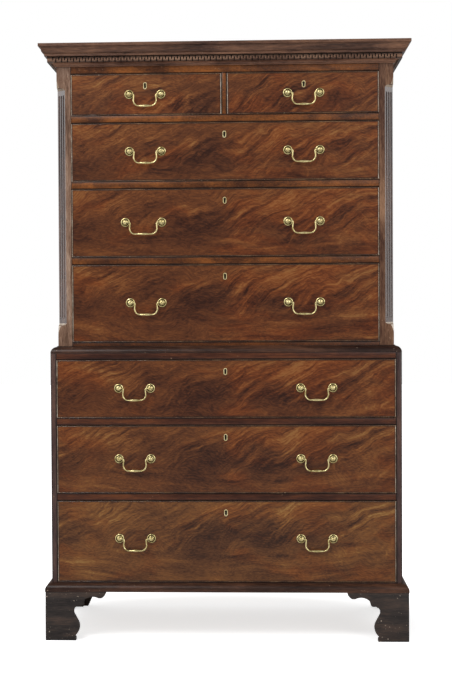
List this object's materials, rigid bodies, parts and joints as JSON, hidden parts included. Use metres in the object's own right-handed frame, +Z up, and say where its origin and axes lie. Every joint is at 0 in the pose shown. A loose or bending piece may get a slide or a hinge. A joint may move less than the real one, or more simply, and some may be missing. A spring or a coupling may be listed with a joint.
{
  "type": "chest on chest",
  "caption": "Tall mahogany chest on chest with stacked cases of drawers, swan-neck bail handles, fluted canted corners, a key-pattern dentil cornice and shaped bracket feet.",
  "frame": {"origin": "on the floor, under the middle of the whole chest", "axes": "+Z up; the front with the drawers faces -Y; +X is to the right of someone who faces the front"},
  "size_m": [1.132, 0.55, 1.83],
  "materials": {
    "mahogany_case": "polished",
    "mahogany_front": "polished crotch figure",
    "mahogany_dark": "polished, darkened by age",
    "oak": "plain",
    "pine": "unpolished",
    "brass": "lacquered",
    "iron": "filed"
  },
  "bodies": {
    "lower_chest": {"lower_sides": "mahogany_case", "lower_rails": "mahogany_case", "lower_dust_boards": "pine", "lower_back": "pine", "bracket_feet": "mahogany_dark", "base_moulding": "mahogany_dark", "waist_moulding": "mahogany_dark"},
    "upper_chest": {"upper_sides": "mahogany_case", "canted_corners": "mahogany_case", "upper_rails": "mahogany_case", "upper_dust_boards": "pine", "upper_back": "pine", "cornice": "mahogany_dark", "key_dentil_band": "mahogany_dark"},
    "lower_bottom_drawer": {"lower_bottom_drawer_front": "mahogany_front", "lower_bottom_drawer_box": "oak", "lower_bottom_drawer_brasses": "brass"},
    "lower_bottom_bail_left": {"lower_bottom_bail_left": "brass"},
    "lower_bottom_bail_right": {"lower_bottom_bail_right": "brass"},
    "lower_bottom_lock_bolt": {"lower_bottom_lock_bolt": "iron"},
    "lower_middle_drawer": {"lower_middle_drawer_front": "mahogany_front", "lower_middle_drawer_box": "oak", "lower_middle_drawer_brasses": "brass"},
    "lower_middle_bail_left": {"lower_middle_bail_left": "brass"},
    "lower_middle_bail_right": {"lower_middle_bail_right": "brass"},
    "lower_middle_lock_bolt": {"lower_middle_lock_bolt": "iron"},
    "lower_top_drawer": {"lower_top_drawer_front": "mahogany_front", "lower_top_drawer_box": "oak", "lower_top_drawer_brasses": "brass"},
    "lower_top_bail_left": {"lower_top_bail_left": "brass"},
    "lower_top_bail_right": {"lower_top_bail_right": "brass"},
    "lower_top_lock_bolt": {"lower_top_lock_bolt": "iron"},
    "upper_bottom_drawer": {"upper_bottom_drawer_front": "mahogany_front", "upper_bottom_drawer_box": "oak", "upper_bottom_drawer_brasses": "brass"},
    "upper_bottom_bail_left": {"upper_bottom_bail_left": "brass"},
    "upper_bottom_bail_right": {"upper_bottom_bail_right": "brass"},
    "upper_bottom_lock_bolt": {"upper_bottom_lock_bolt": "iron"},
    "upper_middle_drawer": {"upper_middle_drawer_front": "mahogany_front", "upper_middle_drawer_box": "oak", "upper_middle_drawer_brasses": "brass"},
    "upper_middle_bail_left": {"upper_middle_bail_left": "brass"},
    "upper_middle_bail_right": {"upper_middle_bail_right": "brass"},
    "upper_middle_lock_bolt": {"upper_middle_lock_bolt": "iron"},
    "upper_top_drawer": {"upper_top_drawer_front": "mahogany_front", "upper_top_drawer_box": "oak", "upper_top_drawer_brasses": "brass"},
    "upper_top_bail_left": {"upper_top_bail_left": "brass"},
    "upper_top_bail_right": {"upper_top_bail_right": "brass"},
    "upper_top_lock_bolt": {"upper_top_lock_bolt": "iron"},
    "short_left_drawer": {"short_left_drawer_front": "mahogany_front", "short_left_drawer_box": "oak", "short_left_drawer_brasses": "brass"},
    "short_left_bail": {"short_left_bail": "brass"},
    "short_left_lock_bolt": {"short_left_lock_bolt": "iron"},
    "short_right_drawer": {"short_right_drawer_front": "mahogany_front", "short_right_drawer_box": "oak", "short_right_drawer_brasses": "brass"},
    "short_right_bail": {"short_right_bail": "brass"},
    "short_right_lock_bolt": {"short_right_lock_bolt": "iron"}
  },
  "joints": [
    {"name": "upper_chest_lift", "type": "slide", "parent": "lower_chest", "child": "upper_chest", "axis": [0, 0, 1], "range_m": [0, 0.1]},
    {"name": "lower_bottom_drawer_slide", "type": "slide", "parent": "lower_chest", "child": "lower_bottom_drawer", "axis": [0, -1, 0], "range_m": [0, 0.36]},
    {"name": "lower_bottom_bail_left_swing", "type": "hinge", "parent": "lower_bottom_drawer", "child": "lower_bottom_bail_left", "pos_m": [-0.279, -0.26, 0.31275], "axis": [-1, 0, 0], "range_deg": [-14, 165]},
    {"name": "lower_bottom_bail_right_swing", "type": "hinge", "parent": "lower_bottom_drawer", "child": "lower_bottom_bail_right", "pos_m": [0.279, -0.26, 0.31275], "axis": [-1, 0, 0], "range_deg": [-14, 165]},
    {"name": "lower_bottom_lock_bolt_slide", "type": "slide", "parent": "lower_bottom_drawer", "child": "lower_bottom_lock_bolt", "axis": [0, 0, 1], "range_m": [0, 0.007]},
    {"name": "lower_middle_drawer_slide", "type": "slide", "parent": "lower_chest", "child": "lower_middle_drawer", "axis": [0, -1, 0], "range_m": [0, 0.36]},
    {"name": "lower_middle_bail_left_swing", "type": "hinge", "parent": "lower_middle_drawer", "child": "lower_middle_bail_left", "pos_m": [-0.279, -0.26, 0.5585], "axis": [-1, 0, 0], "range_deg": [-14, 165]},
    {"name": "lower_middle_bail_right_swing", "type": "hinge", "parent": "lower_middle_drawer", "child": "lower_middle_bail_right", "pos_m": [0.279, -0.26, 0.5585], "axis": [-1, 0, 0], "range_deg": [-14, 165]},
    {"name": "lower_middle_lock_bolt_slide", "type": "slide", "parent": "lower_middle_drawer", "child": "lower_middle_lock_bolt", "axis": [0, 0, 1], "range_m": [0, 0.007]},
    {"name": "lower_top_drawer_slide", "type": "slide", "parent": "lower_chest", "child": "lower_top_drawer", "axis": [0, -1, 0], "range_m": [0, 0.36]},
    {"name": "lower_top_bail_left_swing", "type": "hinge", "parent": "lower_top_drawer", "child": "lower_top_bail_left", "pos_m": [-0.279, -0.26, 0.7755], "axis": [-1, 0, 0], "range_deg": [-14, 165]},
    {"name": "lower_top_bail_right_swing", "type": "hinge", "parent": "lower_top_drawer", "child": "lower_top_bail_right", "pos_m": [0.279, -0.26, 0.7755], "axis": [-1, 0, 0], "range_deg": [-14, 165]},
    {"name": "lower_top_lock_bolt_slide", "type": "slide", "parent": "lower_top_drawer", "child": "lower_top_lock_bolt", "axis": [0, 0, 1], "range_m": [0, 0.007]},
    {"name": "upper_bottom_drawer_slide", "type": "slide", "parent": "upper_chest", "child": "upper_bottom_drawer", "axis": [0, -1, 0], "range_m": [0, 0.36]},
    {"name": "upper_bottom_bail_left_swing", "type": "hinge", "parent": "upper_bottom_drawer", "child": "upper_bottom_bail_left", "pos_m": [-0.243, -0.238, 1.038], "axis": [-1, 0, 0], "range_deg": [-14, 165]},
    {"name": "upper_bottom_bail_right_swing", "type": "hinge", "parent": "upper_bottom_drawer", "child": "upper_bottom_bail_right", "pos_m": [0.243, -0.238, 1.038], "axis": [-1, 0, 0], "range_deg": [-14, 165]},
    {"name": "upper_bottom_lock_bolt_slide", "type": "slide", "parent": "upper_bottom_drawer", "child": "upper_bottom_lock_bolt", "axis": [0, 0, 1], "range_m": [0, 0.007]},
    {"name": "upper_middle_drawer_slide", "type": "slide", "parent": "upper_chest", "child": "upper_middle_drawer", "axis": [0, -1, 0], "range_m": [0, 0.36]},
    {"name": "upper_middle_bail_left_swing", "type": "hinge", "parent": "upper_middle_drawer", "child": "upper_middle_bail_left", "pos_m": [-0.25, -0.238, 1.2855], "axis": [-1, 0, 0], "range_deg": [-14, 165]},
    {"name": "upper_middle_bail_right_swing", "type": "hinge", "parent": "upper_middle_drawer", "child": "upper_middle_bail_right", "pos_m": [0.243, -0.238, 1.2855], "axis": [-1, 0, 0], "range_deg": [-14, 165]},
    {"name": "upper_middle_lock_bolt_slide", "type": "slide", "parent": "upper_middle_drawer", "child": "upper_middle_lock_bolt", "axis": [0, 0, 1], "range_m": [0, 0.007]},
    {"name": "upper_top_drawer_slide", "type": "slide", "parent": "upper_chest", "child": "upper_top_drawer", "axis": [0, -1, 0], "range_m": [0, 0.36]},
    {"name": "upper_top_bail_left_swing", "type": "hinge", "parent": "upper_top_drawer", "child": "upper_top_bail_left", "pos_m": [-0.243, -0.238, 1.50325], "axis": [-1, 0, 0], "range_deg": [-14, 165]},
    {"name": "upper_top_bail_right_swing", "type": "hinge", "parent": "upper_top_drawer", "child": "upper_top_bail_right", "pos_m": [0.243, -0.238, 1.50325], "axis": [-1, 0, 0], "range_deg": [-14, 165]},
    {"name": "upper_top_lock_bolt_slide", "type": "slide", "parent": "upper_top_drawer", "child": "upper_top_lock_bolt", "axis": [0, 0, 1], "range_m": [0, 0.007]},
    {"name": "short_left_drawer_slide", "type": "slide", "parent": "upper_chest", "child": "short_left_drawer", "axis": [0, -1, 0], "range_m": [0, 0.36]},
    {"name": "short_left_bail_swing", "type": "hinge", "parent": "short_left_drawer", "child": "short_left_bail", "pos_m": [-0.243, -0.238, 1.67775], "axis": [-1, 0, 0], "range_deg": [-14, 165]},
    {"name": "short_left_lock_bolt_slide", "type": "slide", "parent": "short_left_drawer", "child": "short_left_lock_bolt", "axis": [0, 0, 1], "range_m": [0, 0.007]},
    {"name": "short_right_drawer_slide", "type": "slide", "parent": "upper_chest", "child": "short_right_drawer", "axis": [0, -1, 0], "range_m": [0, 0.36]},
    {"name": "short_right_bail_swing", "type": "hinge", "parent": "short_right_drawer", "child": "short_right_bail", "pos_m": [0.243, -0.238, 1.67775], "axis": [-1, 0, 0], "range_deg": [-14, 165]},
    {"name": "short_right_lock_bolt_slide", "type": "slide", "parent": "short_right_drawer", "child": "short_right_lock_bolt", "axis": [0, 0, 1], "range_m": [0, 0.007]}
  ]
}
